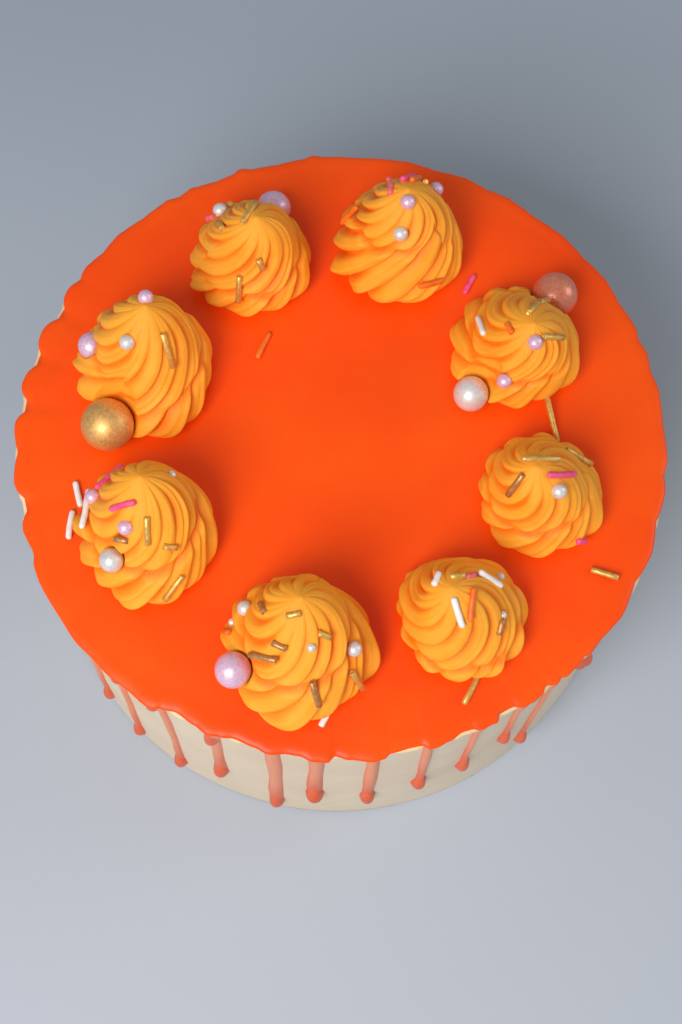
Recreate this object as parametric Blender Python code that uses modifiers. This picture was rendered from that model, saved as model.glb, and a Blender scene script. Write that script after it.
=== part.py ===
"""A whole round carrot cake in ivory buttercream.

An orange glaze covers the top, hangs over the edge in scallops and runs down the side in drips. Eight
piped buttercream swirls stand in a ring on the glaze, with sugar pearls and rods scattered over them.
The origin is the middle of the cake's underside. The front of the cake faces -Y.
"""

import math
import random
from collections import namedtuple

import bmesh
import bpy
from mathutils import Matrix, Vector

# Driving dimensions, in metres
CAKE_RADIUS = 0.0988
TOP_HEIGHT = 0.105
GLAZE_THICKNESS = 0.002
GAP = 0.0003
CAKE_EDGE_RADIUS = 0.002
FOOT_BEVEL = 0.0008
CAKE_STEPS = 54

# The glaze's rim, in metres: a lobe over each drip and a notch between two
LOBE_OVERHANG = 0.0022
NOTCH_OVERHANG = 0.0007
LOBE_DROP = 0.0052
NOTCH_DROP = 0.0030
RIM_ROUNDING = 0.0035
RIM_SHOULDER = 0.0012
LIP_INSET = 0.0002
LIP_RISE = 0.0005
LOBE_POWER = 0.7
COLUMNS_BETWEEN_DRIPS = 3

# Drips, in metres
STEM_WIDTH = 0.0046
STEM_DEPTH = 0.0013
BULB_WIDTH = 0.0056
BULB_DEPTH = 0.0026
ROOT_WIDTH = 0.0068
ROOT_DEPTH = 0.0008
ROOT_DROP = 0.0022
ROOT_TAPER = 0.0060
BULB_TIP = 0.0008
BULB_MIDDLE = 0.0030
BULB_LENGTH = 0.0070
TIP_SHARE = 0.65
DRIP_SECTION = ((1.0, 0.0), (0.35, 0.5), (0.0, 0.42), (0.0, -0.42), (0.35, -0.5))

# Front drips: degrees to the right of the front, and the height at which each ends
FRONT_DRIPS = (
    (-58.5, 0.046),
    (-49.5, 0.010),
    (-40.5, 0.005),
    (-29.8, 0.006),
    (-19.8, 0.032),
    (-9.0, 0.007),
    (-1.5, 0.029),
    (8.5, 0.024),
    (18.2, 0.033),
    (27.0, 0.036),
    (35.2, 0.046),
    (42.0, 0.015),
    (50.0, 0.081),
    (58.5, 0.040),
)

# Drips round the sides and the back, of which only the rim's lobes show: degrees to the right of the front
OTHER_DRIPS = (
    71.0, 82.6, 89.1, 102.2, 109.8, 115.3, 126.0, 137.6, 150.1, 159.2, 170.3, 188.3,
    202.3, 212.5, 217.7, 229.1, 237.7, 243.1, 252.8, 263.6, 271.1, 281.8, 291.2,
)
OTHER_ENDS = (0.012, 0.028, 0.036, 0.046, 0.060)
OTHER_END_SPREAD = 0.008
DRIP_SEED = 5

# Swirls: bearing from +X in degrees, distance out from the middle, width, height, how far the tip leans
# and the bearing it leans to, ridges, and the bearing at which the last turn of the piping ends
Swirl = namedtuple("Swirl", "bearing out width height lean lean_bearing ridges seam")
SWIRLS = (
    Swirl(30, 0.0608, 0.0397, 0.032, 0.0060, 288, 11, 30),
    Swirl(77, 0.0650, 0.0402, 0.036, 0.0022, 60, 12, 330),
    Swirl(120, 0.0654, 0.0380, 0.033, 0.0040, 330, 11, 200),
    Swirl(166, 0.0642, 0.0415, 0.037, 0.0062, 60, 12, 250),
    Swirl(214.5, 0.0676, 0.0412, 0.036, 0.0066, 90, 12, 80),
    Swirl(262.7, 0.0717, 0.0432, 0.035, 0.0070, 90, 12, 70),
    Swirl(303.2, 0.0688, 0.0370, 0.031, 0.0048, 180, 11, 100),
    Swirl(342.7, 0.0636, 0.0377, 0.031, 0.0050, 195, 11, 20),
)

# Levels of a swirl from its foot to its tip: rise, radius as a share of half the width, height as a
# share of the whole, and depth of the creases as a share of the local radius
SWIRL_LEVELS = (
    (0.00, 0.88, 0.00, 0.15),
    (0.15, 1.00, 0.13, 0.20),
    (0.33, 0.90, 0.33, 0.13),
    (0.50, 0.75, 0.49, 0.13),
    (0.67, 0.59, 0.68, 0.19),
    (0.83, 0.36, 0.86, 0.21),
    (0.94, 0.14, 0.96, 0.20),
)
SWIRL_TWIST = 115
TWIST_POWER = 0.9
CREASE_SHARPNESS = 0.65
SAMPLES_PER_RIDGE = 3
SEAM_SHARE = 0.07
SEAM_WIDTH = 0.08
UNEVEN_SHARE = 0.03
PLAIN_CREST = 0.75
LEAN_POWER = 1.4

# Large pearls: node, bearing from +X in degrees, distance out, radius, height above the glaze. A pearl on
# the glaze was set down from above, and one that is higher was pressed into the side of its swirl
Pearl = namedtuple("Pearl", "node bearing out radius lift")
PEARLS = (
    Pearl("pearl_gold", 183.8, 0.0711, 0.0081, 0.0),
    Pearl("pearl_pink", 36.6, 0.0798, 0.0072, 0.0),
    Pearl("pearl_white_1", 18.7, 0.0409, 0.0055, 0.0),
    Pearl("pearl_white_2", 217.9, 0.0815, 0.0036, 0.0125),
    Pearl("pearl_lilac_1", 251.1, 0.0841, 0.0053, 0.0070),
    Pearl("pearl_lilac_2", 109.2, 0.0787, 0.0055, 0.0),
    Pearl("pearl_lilac_3", 166.6, 0.0795, 0.0042, 0.0095),
)
PEARL_SIDES = 12
PEARL_RINGS = 6
DENT_SIDES = 12
DENT_ALLOWANCE = 1.05

# Small toppings, in metres
ROD_RADIUS = 0.00095
ROD_SIDES = 6
ROD_LENGTHS = {"long": 0.0125, "rod": 0.0095, "bit": 0.0045}
BEAD_RADII = {"pearl": 0.0023, "bead": 0.0013}
BEAD_SIDES = 6
BEAD_RINGS = 4
SUNK_SHARE = 0.35
FOOT_RISE = 0.17
FOOT_REACH = 0.32
FOOT_SUNK = 0.0007
DROP_START = 0.006
DROP_REACH = 0.015
FRAME_TURN = 5.0
FRAME_CLIMB = 0.05

# Small toppings on each swirl: kind, bearing about the swirl's foot, rise on the swirl from 0 to 1 and,
# for a rod, its turn: 0 runs round the swirl and 90 runs up it
SWIRL_TOPPINGS = {
    1: (
        ("rod", 84, 0.85, 70),
        ("rod", 64, 0.66, 84),
        ("rod", 171, 0.58, 36),
        ("bit", 189, 0.85, 18),
        ("pearl", 279, 0.88, 0),
        ("rod", 336, 0.83, 126),
        ("pearl", 250, 0.49, 0),
    ),
    2: (
        ("bit", 106, 0.45, 80),
        ("rod", 88, 0.82, 66),
        ("rod", 70, 0.82, 84),
        ("rod", 58, 0.70, 104),
        ("pearl", 46, 0.60, 0),
        ("bit", 159, 0.88, 24),
        ("pearl", 274, 0.93, 0),
        ("pearl", 264, 0.75, 0),
        ("rod", 303, 0.30, 165),
        ("rod", 174, 0.50, 100),
    ),
    3: (
        ("pearl", 133, 0.45, 0),
        ("bit", 147, 0.42, 94),
        ("bit", 118, 0.34, 100),
        ("rod", 132, 0.93, 30),
        ("bit", 176, 0.72, 43),
        ("bit", 285, 0.68, 105),
        ("rod", 261, 0.43, 92),
    ),
    4: (
        ("pearl", 90, 0.92, 0),
        ("pearl", 241, 0.80, 0),
        ("long", 316, 0.73, 78),
    ),
    5: (
        ("long", 173, 0.40, 10),
        ("long", 138, 0.53, 20),
        ("pearl", 165, 0.50, 0),
        ("rod", 230, 0.83, 54),
        ("pearl", 248, 0.73, 0),
        ("bit", 246, 0.65, 18),
        ("rod", 282, 0.73, 84),
        ("bit", 306, 0.58, 138),
        ("rod", 297, 0.26, 42),
        ("bead", 42, 0.73, 0),
    ),
    6: (
        ("pearl", 156, 0.43, 0),
        ("bead", 164, 0.26, 0),
        ("bit", 174, 0.28, 72),
        ("bit", 174, 0.75, 42),
        ("bit", 248, 0.92, 36),
        ("bit", 242, 0.75, 8),
        ("rod", 228, 0.63, 38),
        ("bead", 291, 0.76, 0),
        ("bit", 318, 0.78, 118),
        ("pearl", 345, 0.50, 0),
        ("rod", 330, 0.28, 88),
        ("rod", 288, 0.45, 94),
        ("bit", 294, 0.08, 138),
    ),
    7: (
        ("bit", 146, 0.85, 20),
        ("bit", 78, 0.90, 28),
        ("bit", 51, 0.83, 72),
        ("rod", 34, 0.67, 55),
        ("rod", 281, 0.85, 102),
        ("rod", 326, 0.85, 36),
        ("bead", 39, 0.45, 0),
        ("bead", 348, 0.54, 0),
        ("bit", 333, 0.53, 30),
        ("long", 282, 0.08, 126),
    ),
    8: (
        ("long", 72, 0.93, 30),
        ("long", 42, 0.43, 56),
        ("rod", 212, 0.80, 100),
        ("long", 357, 0.83, 110),
        ("pearl", 318, 0.80, 0),
        ("bit", 312, 0.20, 135),
    ),
}

# Rods that lie on the glaze: bearing from +X, distance out, direction and length
GLAZE_RODS = (
    (133.0, 0.0383, 70, 0.0098),
    (54.7, 0.0654, 66, 0.0075),
    (333.0, 0.0903, 165, 0.0085),
    (3.5, 0.0655, 100, 0.0070),
    (197.5, 0.0825, 108, 0.0085),
    (203.5, 0.0870, 88, 0.0092),
)

COLOURS = {
    "buttercream": ((0.72, 0.62, 0.48), 0.55, 0.0),
    "orange_glaze": ((0.90, 0.07, 0.004), 0.12, 0.0),
    "orange_buttercream": ((0.95, 0.36, 0.03), 0.5, 0.0),
    "gold_pearl": ((0.60, 0.36, 0.10), 0.3, 0.8),
    "pink_pearl": ((0.75, 0.40, 0.36), 0.25, 0.2),
    "white_pearl": ((0.80, 0.76, 0.74), 0.25, 0.2),
    "lilac_pearl": ((0.66, 0.45, 0.70), 0.25, 0.2),
}


def clear_scene():
    for obj in list(bpy.data.objects):
        bpy.data.objects.remove(obj, do_unlink=True)


def material(name):
    colour, roughness, metallic = COLOURS[name]
    made = bpy.data.materials.new(name)
    made.use_nodes = True
    shader = made.node_tree.nodes["Principled BSDF"]
    shader.inputs["Base Color"].default_value = (*colour, 1.0)
    shader.inputs["Roughness"].default_value = roughness
    shader.inputs["Metallic"].default_value = metallic
    return made


def add_object(name, mesh, collection):
    obj = bpy.data.objects.new(name, mesh)
    collection.objects.link(obj)
    return obj


def polar(radius, degrees, height):
    angle = math.radians(degrees)
    return Vector((radius * math.cos(angle), radius * math.sin(angle), height))


def loft(name, rings, low_point, high_point, collection):
    """A closed body through rings of points, each ring anticlockwise from above, shut by a fan at each end."""
    shape = bmesh.new()
    levels = [[shape.verts.new(point) for point in ring] for ring in rings]
    count = len(levels[0])
    low = shape.verts.new(low_point)
    high = shape.verts.new(high_point)
    for i in range(count):
        j = (i + 1) % count
        for lower, upper in zip(levels, levels[1:]):
            shape.faces.new((lower[i], lower[j], upper[j], upper[i]))
        shape.faces.new((low, levels[0][j], levels[0][i]))
        shape.faces.new((high, levels[-1][i], levels[-1][j]))
    bmesh.ops.triangulate(shape, faces=shape.faces, quad_method="SHORT_EDGE")
    mesh = bpy.data.meshes.new(name)
    shape.to_mesh(mesh)
    shape.free()
    return add_object(name, mesh, collection)


def apply_modifiers(obj):
    graph = bpy.context.evaluated_depsgraph_get()
    obj.data = bpy.data.meshes.new_from_object(obj.evaluated_get(graph))
    obj.modifiers.clear()


def join_collection(obj, pieces):
    """Fuses every object of a collection to obj, then removes them."""
    if not pieces.objects:
        return
    union = obj.modifiers.new("fuse", "BOOLEAN")
    union.operation = "UNION"
    union.operand_type = "COLLECTION"
    union.collection = pieces
    apply_modifiers(obj)
    for piece in list(pieces.objects):
        bpy.data.objects.remove(piece, do_unlink=True)


def cut(obj, cutter):
    dent = obj.modifiers.new("dent", "BOOLEAN")
    dent.operation = "DIFFERENCE"
    dent.object = cutter
    apply_modifiers(obj)


def make_cake(collection):
    """The body in smooth buttercream: a turned profile, down its outer side from the top."""
    height = TOP_HEIGHT - GLAZE_THICKNESS - GAP
    edge_middle = CAKE_RADIUS - CAKE_EDGE_RADIUS
    profile = [(0.0, height)]
    for degrees in (90, 45, 0):
        angle = math.radians(degrees)
        profile.append(
            (
                edge_middle + CAKE_EDGE_RADIUS * math.cos(angle),
                height - CAKE_EDGE_RADIUS + CAKE_EDGE_RADIUS * math.sin(angle),
            )
        )
    profile.append((CAKE_RADIUS, FOOT_BEVEL))
    profile.append((CAKE_RADIUS - FOOT_BEVEL, 0.0))
    profile.append((0.0, 0.0))
    mesh = bpy.data.meshes.new("cake")
    edges = [(i, i + 1) for i in range(len(profile) - 1)]
    mesh.from_pydata([(x, 0.0, z) for x, z in profile], edges, [])
    cake = add_object("cake", mesh, collection)
    screw = cake.modifiers.new("turn", "SCREW")
    screw.steps = CAKE_STEPS
    screw.render_steps = CAKE_STEPS
    screw.use_merge_vertices = True
    screw.merge_threshold = 0.00001
    cake.data.materials.append(material("buttercream"))
    return cake


def drips():
    """(bearing from +X, end height) of every drip, anticlockwise from the first on the left of the front."""
    draw = random.Random(DRIP_SEED)
    found = [(right - 90.0, end) for right, end in FRONT_DRIPS]
    for right in OTHER_DRIPS:
        found.append((right - 90.0, draw.choice(OTHER_ENDS) + draw.uniform(0.0, OTHER_END_SPREAD)))
    return found


def rim_columns():
    """(bearing, lobe) round the rim, where lobe runs from 0 in a notch to 1 over a drip."""
    bearings = [bearing for bearing, _ in drips()]
    columns = []
    for bearing, following in zip(bearings, bearings[1:] + [bearings[0] + 360.0]):
        for k in range(COLUMNS_BETWEEN_DRIPS):
            share = k / COLUMNS_BETWEEN_DRIPS
            columns.append((bearing + share * (following - bearing), abs(math.cos(math.pi * share)) ** LOBE_POWER))
    return columns


def glaze_section(lobe):
    """(radius, height) from the middle of the underside, round the lip, to the flat top."""
    inner = CAKE_RADIUS + GAP
    edge_radius = CAKE_EDGE_RADIUS + GAP
    edge_middle = CAKE_RADIUS - CAKE_EDGE_RADIUS
    edge_height = TOP_HEIGHT - GLAZE_THICKNESS - GAP - CAKE_EDGE_RADIUS
    outer = CAKE_RADIUS + NOTCH_OVERHANG + lobe * (LOBE_OVERHANG - NOTCH_OVERHANG)
    drop = NOTCH_DROP + lobe * (LOBE_DROP - NOTCH_DROP)
    lip = TOP_HEIGHT - drop
    slant = math.radians(45)
    return (
        (edge_middle, edge_height + edge_radius),
        (edge_middle + edge_radius * math.sin(slant), edge_height + edge_radius * math.cos(slant)),
        (inner, min(lip, edge_height)),
        (outer - LIP_INSET, lip + LIP_RISE),
        (outer - 0.2 * RIM_ROUNDING, TOP_HEIGHT - RIM_SHOULDER),
        (outer - 1.4 * RIM_ROUNDING, TOP_HEIGHT),
    )


def make_glaze_cap(collection):
    columns = rim_columns()
    sections = [(bearing, glaze_section(lobe)) for bearing, lobe in columns]
    rings = []
    for level in range(len(sections[0][1])):
        rings.append([polar(*section[level][:1], bearing, section[level][1]) for bearing, section in sections])
    underside = TOP_HEIGHT - GLAZE_THICKNESS
    return loft("glaze", rings, (0, 0, underside), (0, 0, TOP_HEIGHT), collection)


def make_drip(bearing, end, collection):
    """A run of glaze down the side: a wide root under the rim's lobe, a flat stem and a round bulb."""
    wall = CAKE_RADIUS + GAP
    root = TOP_HEIGHT - ROOT_DROP
    rows = (
        (end + BULB_TIP, TIP_SHARE * BULB_WIDTH, TIP_SHARE * BULB_DEPTH),
        (end + BULB_MIDDLE, BULB_WIDTH, BULB_DEPTH),
        (end + BULB_LENGTH, STEM_WIDTH, STEM_DEPTH),
        (root - ROOT_TAPER, STEM_WIDTH, STEM_DEPTH),
        (root, ROOT_WIDTH, ROOT_DEPTH),
    )
    rings = []
    for height, width, depth in rows:
        ring = []
        for out, across in DRIP_SECTION:
            shift = math.degrees(across * width / wall)
            ring.append(polar(wall + out * depth, bearing + shift, height))
        rings.append(ring)
    low = polar(wall + 0.4 * BULB_DEPTH, bearing, end)
    high = polar(wall + 0.3 * STEM_DEPTH, bearing, root)
    return loft("drip", rings, low, high, collection)


def swirl_profile(rise):
    """(radius share, height share, crease depth) of a swirl at a rise between 0 and 1."""
    tip = (1.0, 0.02, 1.0, 0.0)
    levels = SWIRL_LEVELS + (tip,)
    for low, high in zip(levels, levels[1:]):
        if rise <= high[0]:
            share = (rise - low[0]) / (high[0] - low[0])
            return tuple(a + share * (b - a) for a, b in zip(low[1:], high[1:]))
    return tip[1:]


def swirl_axis(swirl, height_share):
    """The middle of a swirl at a share of its height: the axis bends over towards the tip."""
    foot = polar(swirl.out, swirl.bearing, TOP_HEIGHT + GAP)
    return foot + polar(swirl.lean * height_share**LEAN_POWER, swirl.lean_bearing, swirl.height * height_share)


def swirl_turn(rise):
    """How far a ridge has wound round the swirl, in degrees, on its way down from the tip."""
    return SWIRL_TWIST * (1.0 - rise) ** TWIST_POWER


def swirl_point(swirl, degrees, rise):
    """The point of a swirl's surface on the ridge line that leaves the tip at this bearing."""
    radius_share, height_share, depth = swirl_profile(rise)
    phase = (degrees * swirl.ridges / 360.0) % 1.0
    crest = math.sin(math.pi * phase) ** CREASE_SHARPNESS if phase > 0.0 else 0.0
    bearing = degrees - swirl_turn(rise)
    around = ((bearing - swirl.seam) % 360.0) / 360.0
    if around > SEAM_WIDTH:
        seam = SEAM_SHARE * (0.5 - around)
    else:
        seam = SEAM_SHARE * (1.0 - 2.0 * SEAM_WIDTH) * (around / SEAM_WIDTH - 0.5)
    uneven = UNEVEN_SHARE * math.sin(math.radians(3 * bearing + 40 * swirl.ridges + swirl.bearing))
    radius = 0.5 * swirl.width * radius_share
    radius *= 1.0 + depth * (crest - PLAIN_CREST) + (seam + uneven) * (1.0 - rise)
    return swirl_axis(swirl, height_share) + polar(radius, bearing, 0)


def plain_point(swirl, around, rise):
    """The point of a swirl without its ridges, at a bearing about its foot and a rise."""
    radius_share, height_share, _ = swirl_profile(rise)
    return swirl_axis(swirl, height_share) + polar(0.5 * swirl.width * radius_share, around, 0.0)


def surface_frame(swirl, around, rise):
    """A point of the plain swirl, and the directions round, up and out there."""
    across = plain_point(swirl, around + FRAME_TURN, rise) - plain_point(swirl, around - FRAME_TURN, rise)
    higher = plain_point(swirl, around, min(rise + FRAME_CLIMB, 1.0))
    lower = plain_point(swirl, around, max(rise - FRAME_CLIMB, 0.0))
    outward = across.cross(higher - lower).normalized()
    round_it = across.normalized()
    return plain_point(swirl, around, rise), round_it, outward.cross(round_it), outward


def touch_point(cream, point, outward):
    """Where a topping that comes down onto the swirl first touches it."""
    touches, touched, _, _ = cream.ray_cast(point + outward * DROP_START, -outward, distance=DROP_REACH)
    return touched if touches else cream.closest_point_on_mesh(point)[1]


def rod(middle, direction, length, collection):
    """A sugar rod: a six-sided cylinder with its middle and direction given."""
    shape = bmesh.new()
    place = Matrix.Translation(middle) @ direction.to_track_quat("Z", "Y").to_matrix().to_4x4()
    bmesh.ops.create_cone(
        shape,
        segments=ROD_SIDES,
        radius1=ROD_RADIUS,
        radius2=ROD_RADIUS,
        depth=length,
        cap_ends=True,
        matrix=place,
    )
    mesh = bpy.data.meshes.new("rod")
    shape.to_mesh(mesh)
    shape.free()
    return add_object("rod", mesh, collection)


def make_toppings(number, swirl, cream, collection):
    """The small pearls and rods pressed a little way into a swirl, or lying level against its foot."""
    for kind, around, rise, turn in SWIRL_TOPPINGS[number]:
        point, round_it, up_it, outward = surface_frame(swirl, around, rise)
        point = touch_point(cream, point, outward)
        if kind in BEAD_RADII:
            radius = BEAD_RADII[kind]
            middle = point + outward * radius * (1.0 - 2.0 * SUNK_SHARE)
            sphere(kind, radius, BEAD_SIDES, BEAD_RINGS, middle, collection)
            continue
        angle = math.radians(turn)
        length = ROD_LENGTHS[kind]
        if rise < FOOT_RISE:
            outward = polar(1.0, around, 0.0)
            direction = outward * math.sin(angle) + polar(1.0, around + 90, 0.0) * math.cos(angle)
            middle = point + outward * (FOOT_REACH * length * math.sin(angle) - FOOT_SUNK)
            middle.z = TOP_HEIGHT + GAP + ROD_RADIUS
        else:
            direction = round_it * math.cos(angle) + up_it * math.sin(angle)
            middle = point + outward * ROD_RADIUS * (1.0 - 2.0 * SUNK_SHARE)
        rod(middle, direction, length, collection)


def make_glaze_rods(collection):
    for bearing, out, direction, length in GLAZE_RODS:
        height = TOP_HEIGHT + ROD_RADIUS * (1.0 - SUNK_SHARE)
        rod(polar(out, bearing, height), polar(1.0, direction, 0.0), length, collection)


def make_swirl(name, swirl, collection):
    """A star-tip swirl: ridges with sharp creases that leave the tip and wind down and out to the foot."""
    count = swirl.ridges * SAMPLES_PER_RIDGE
    rings = []
    for level in SWIRL_LEVELS:
        rings.append([swirl_point(swirl, 360.0 * i / count, level[0]) for i in range(count)])
    made = loft(name, rings, swirl_axis(swirl, 0.0), swirl_axis(swirl, 1.0), collection)
    made.data.materials.append(material("orange_buttercream"))
    return made


def sphere(name, radius, sides, rings, middle, collection):
    shape = bmesh.new()
    place = Matrix.Translation(middle)
    bmesh.ops.create_uvsphere(shape, u_segments=sides, v_segments=rings, radius=radius, matrix=place)
    mesh = bpy.data.meshes.new(name)
    shape.to_mesh(mesh)
    shape.free()
    return add_object(name, mesh, collection)


def pearl_middle(pearl):
    return polar(pearl.out, pearl.bearing, TOP_HEIGHT + GAP + pearl.radius + pearl.lift)


def make_pearl(pearl, collection):
    made = sphere(pearl.node, pearl.radius, PEARL_SIDES, PEARL_RINGS, pearl_middle(pearl), collection)
    kind = pearl.node.split("_")[1] + "_pearl"
    made.data.materials.append(material(kind))
    made.data.shade_smooth()
    return made


def dent_swirl(obj, swirl, helpers):
    """Cuts room for each large pearl that presses into this swirl, open upwards over one on the glaze."""
    foot = polar(swirl.out, swirl.bearing, 0.0)
    for pearl in PEARLS:
        middle = pearl_middle(pearl)
        apart = (Vector((middle.x, middle.y, 0.0)) - foot).length
        if apart > 0.55 * swirl.width + pearl.radius:
            continue
        radius = (pearl.radius + GAP) * DENT_ALLOWANCE
        cutter = sphere("dent", radius, DENT_SIDES, DENT_SIDES // 2, middle, helpers)
        if pearl.lift == 0.0:
            for vertex in cutter.data.vertices:
                if vertex.co.z > middle.z + GAP:
                    vertex.co.z += swirl.height
        cut(obj, cutter)
        bpy.data.objects.remove(cutter, do_unlink=True)


def main():
    clear_scene()
    parts = bpy.data.collections.new("carrot_cake")
    loose = bpy.data.collections.new("fused_pieces")
    helpers = bpy.data.collections.new("cutters")
    for collection in (parts, loose, helpers):
        bpy.context.scene.collection.children.link(collection)
    make_cake(parts)
    glaze = make_glaze_cap(parts)
    for bearing, end in drips():
        make_drip(bearing, end, loose)
    make_glaze_rods(loose)
    join_collection(glaze, loose)
    glaze.data.materials.append(material("orange_glaze"))
    for number, swirl in enumerate(SWIRLS, 1):
        made = make_swirl(f"swirl_{number}", swirl, parts)
        make_toppings(number, swirl, made, loose)
        join_collection(made, loose)
        dent_swirl(made, swirl, helpers)
    for pearl in PEARLS:
        make_pearl(pearl, parts)


main()
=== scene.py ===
"""The looks of a whole round carrot cake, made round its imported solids.

Ivory buttercream covers the side. A glossy orange glaze lies on top and runs down the side in drips, and
eight piped swirls stand on it, with sugar pearls and rods. Sizes are in metres. The cake's front faces -Y.
"""

import math
import random
from collections import namedtuple

import bmesh
import bpy
import numpy as np
from mathutils import Matrix, Vector
from mathutils.bvhtree import BVHTree


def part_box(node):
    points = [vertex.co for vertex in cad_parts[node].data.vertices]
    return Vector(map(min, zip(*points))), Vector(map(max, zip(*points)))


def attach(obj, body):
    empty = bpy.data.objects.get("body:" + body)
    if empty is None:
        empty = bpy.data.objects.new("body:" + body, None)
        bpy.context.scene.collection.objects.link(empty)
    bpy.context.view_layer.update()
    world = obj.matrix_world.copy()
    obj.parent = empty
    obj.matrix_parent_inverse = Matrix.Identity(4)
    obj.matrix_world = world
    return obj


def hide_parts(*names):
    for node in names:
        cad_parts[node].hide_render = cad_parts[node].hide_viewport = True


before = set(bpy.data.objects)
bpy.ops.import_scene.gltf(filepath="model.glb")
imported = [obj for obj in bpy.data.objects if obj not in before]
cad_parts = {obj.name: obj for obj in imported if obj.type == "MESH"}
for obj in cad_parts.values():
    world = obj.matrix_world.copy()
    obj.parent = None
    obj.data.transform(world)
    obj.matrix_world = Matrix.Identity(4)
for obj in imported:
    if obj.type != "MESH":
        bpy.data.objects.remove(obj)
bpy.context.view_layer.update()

# The cake and its glaze: the radius and the height come from the frame, the others repeat the solids' own
GLAZE_THICKNESS = 0.002
GAP = 0.0003
cake_low, cake_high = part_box("cake")
CAKE_RADIUS = 0.5 * (cake_high.x - cake_low.x)
TOP_HEIGHT = cake_high.z + GLAZE_THICKNESS + GAP
CAKE_EDGE_RADIUS = 0.002
FOOT_BEVEL = 0.0008
LOBE_OVERHANG = 0.0022
NOTCH_OVERHANG = 0.0007
LOBE_DROP = 0.0052
NOTCH_DROP = 0.0030

# The cake's side: its mesh, and its waves as depth, turns round the cake, climb per metre and phase
CAKE_COLUMNS = 420
CAKE_ROWS = 84
CAKE_EDGE_DEGREES = (25, 50, 75, 90)
UNDERSIDE_RING = 0.02
TOP_RING = 0.05
SIDE_INSET = 0.0003
SIDE_WAVES = (
    (0.00022, 2, 0, 0.6),
    (0.00014, 5, 25, 1.9),
    (0.00009, 11, 70, 0.0),
    (0.00007, 3, 230, 0.0),
)

# A drip: a flat stem that widens towards its root under the rim, and a round bulb with a neck at its end
STEM_DEPTH = 0.0013
STEM_ROUNDING = 2.2
STEM_WAVE_SHARE = 0.08
STEM_WAVES = 130.0
STEM_SWAY_DEGREES = 0.14
STEM_SWAYS = 90.0
ROOT_SPREAD = 0.0030
ROOT_DEPTH = 0.9 * LOBE_OVERHANG
ROOT_BELOW = 0.0090
ROOT_ABOVE = 0.0020
BULB_SHARE = 0.60
BULB_HALF_HEIGHT = 0.0042
BULB_LIFT = 0.0022
BULB_NECK = 0.0085
BULB_BLEND = 0.0003
DRIP_REACH_DEGREES = 6.0
BURIED = 0.003

# How thick a run's film looks, from 0 to 1: at its root, and what its end and bulb add; the edges add
# painted shade
THIN_FILM = 0.08
END_FILM = 0.55
RUN_DARKENS_OVER = 0.045
BULB_FILM = 0.30
BULB_FILM_DEPTHS = (0.0013, 0.0034)
# Painted shade: a deeper colour along the shallow edges of each run
EDGE_PAINTED_SHADE = 0.20
EDGE_PAINTED_SHADE_DEPTH = 0.0009
FILM_BLEND = 0.00022

# Front drips: degrees to the right of the front, height of the end, stem and bulb widths in millimetres
FRONT_DRIPS = (
    (-58.5, 0.046, 3.0, 4.2),
    (-49.5, 0.010, 2.8, 4.3),
    (-40.5, 0.005, 3.0, 4.5),
    (-29.8, 0.006, 3.2, 4.7),
    (-19.8, 0.032, 4.3, 5.2),
    (-9.0, 0.007, 4.8, 5.2),
    (-1.5, 0.029, 4.9, 5.9),
    (8.5, 0.024, 4.2, 5.1),
    (18.2, 0.033, 3.4, 4.9),
    (27.0, 0.036, 2.6, 4.6),
    (35.2, 0.046, 2.3, 4.3),
    (42.0, 0.015, 2.3, 4.6),
    (50.0, 0.081, 4.0, 4.8),
    (58.5, 0.040, 3.0, 4.4),
)

# The drips round the sides and back, in the same degrees, and the ranges of their ends and widths
OTHER_DRIPS = (
    71.0, 82.6, 89.1, 102.2, 109.8, 115.3, 126.0, 137.6, 150.1, 159.2, 170.3, 188.3,
    202.3, 212.5, 217.7, 229.1, 237.7, 243.1, 252.8, 263.6, 271.1, 281.8, 291.2,
)
OTHER_ENDS = (0.012, 0.028, 0.036, 0.046, 0.060)
OTHER_END_SPREAD = 0.008
OTHER_STEMS = (2.5, 4.5)
OTHER_BULBS = (1.0, 1.7)
DRIP_SEED = 5

# Short wide runs beside a drip's root: degrees to the right of the front, height of the end, and width
SHORT_RUNS = (
    (-39.4, 0.0845, 5.0),
    (-31.6, 0.0850, 4.6),
    (-20.0, 0.081, 4.6),
)

# How far the rim hangs out round the front: degrees to the right of the front and millimetres
FRONT_RIM = (
    (-66.0, 2.4), (-58.0, 3.6), (-52.0, 3.6), (-47.0, 4.1), (-42.5, 3.5),
    (-39.0, 3.8), (-35.1, 3.4), (-31.0, 4.0), (-29.8, 3.6), (-28.6, 2.2),
    (-26.0, 1.0), (-22.5, 1.9), (-19.8, 2.9), (-17.7, 2.1), (-15.3, 1.2),
    (-11.8, 1.9), (-9.4, 2.8), (-6.2, 1.8), (-4.1, 1.9), (-2.0, 3.1),
    (0.5, 3.2), (1.6, 1.3), (4.1, 2.4), (8.2, 3.5), (9.8, 2.9),
    (10.9, 1.6), (14.6, 1.0), (16.3, 1.0), (17.6, 2.6), (18.6, 2.6),
    (20.9, 1.9), (23.6, 0.6), (25.7, 0.8), (28.2, 1.8), (29.6, 2.0),
    (30.6, 0.0), (31.8, -0.3), (34.2, 0.2), (35.6, 1.8), (36.9, 2.2),
    (38.6, 1.8), (40.0, 0.5), (41.4, 0.4), (42.8, 1.1), (44.0, 2.2),
    (47.4, 1.8), (49.4, 0.9), (51.8, 1.6), (58.5, 2.4), (66.0, 0.8),
)
FRONT_RIM_BLEND = 4.0
LOBE_POWER = 0.4
LOBE_FLOOR = 0.004

# Notches at the left where the glaze stops short and the cream shows, in degrees to the right of the front
BARE_NOTCHES = (-112.0, -102.0, -92.5, -73.5)
BARE_SPREAD = 1.9
BARE_OVERHANG = -0.0012

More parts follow.
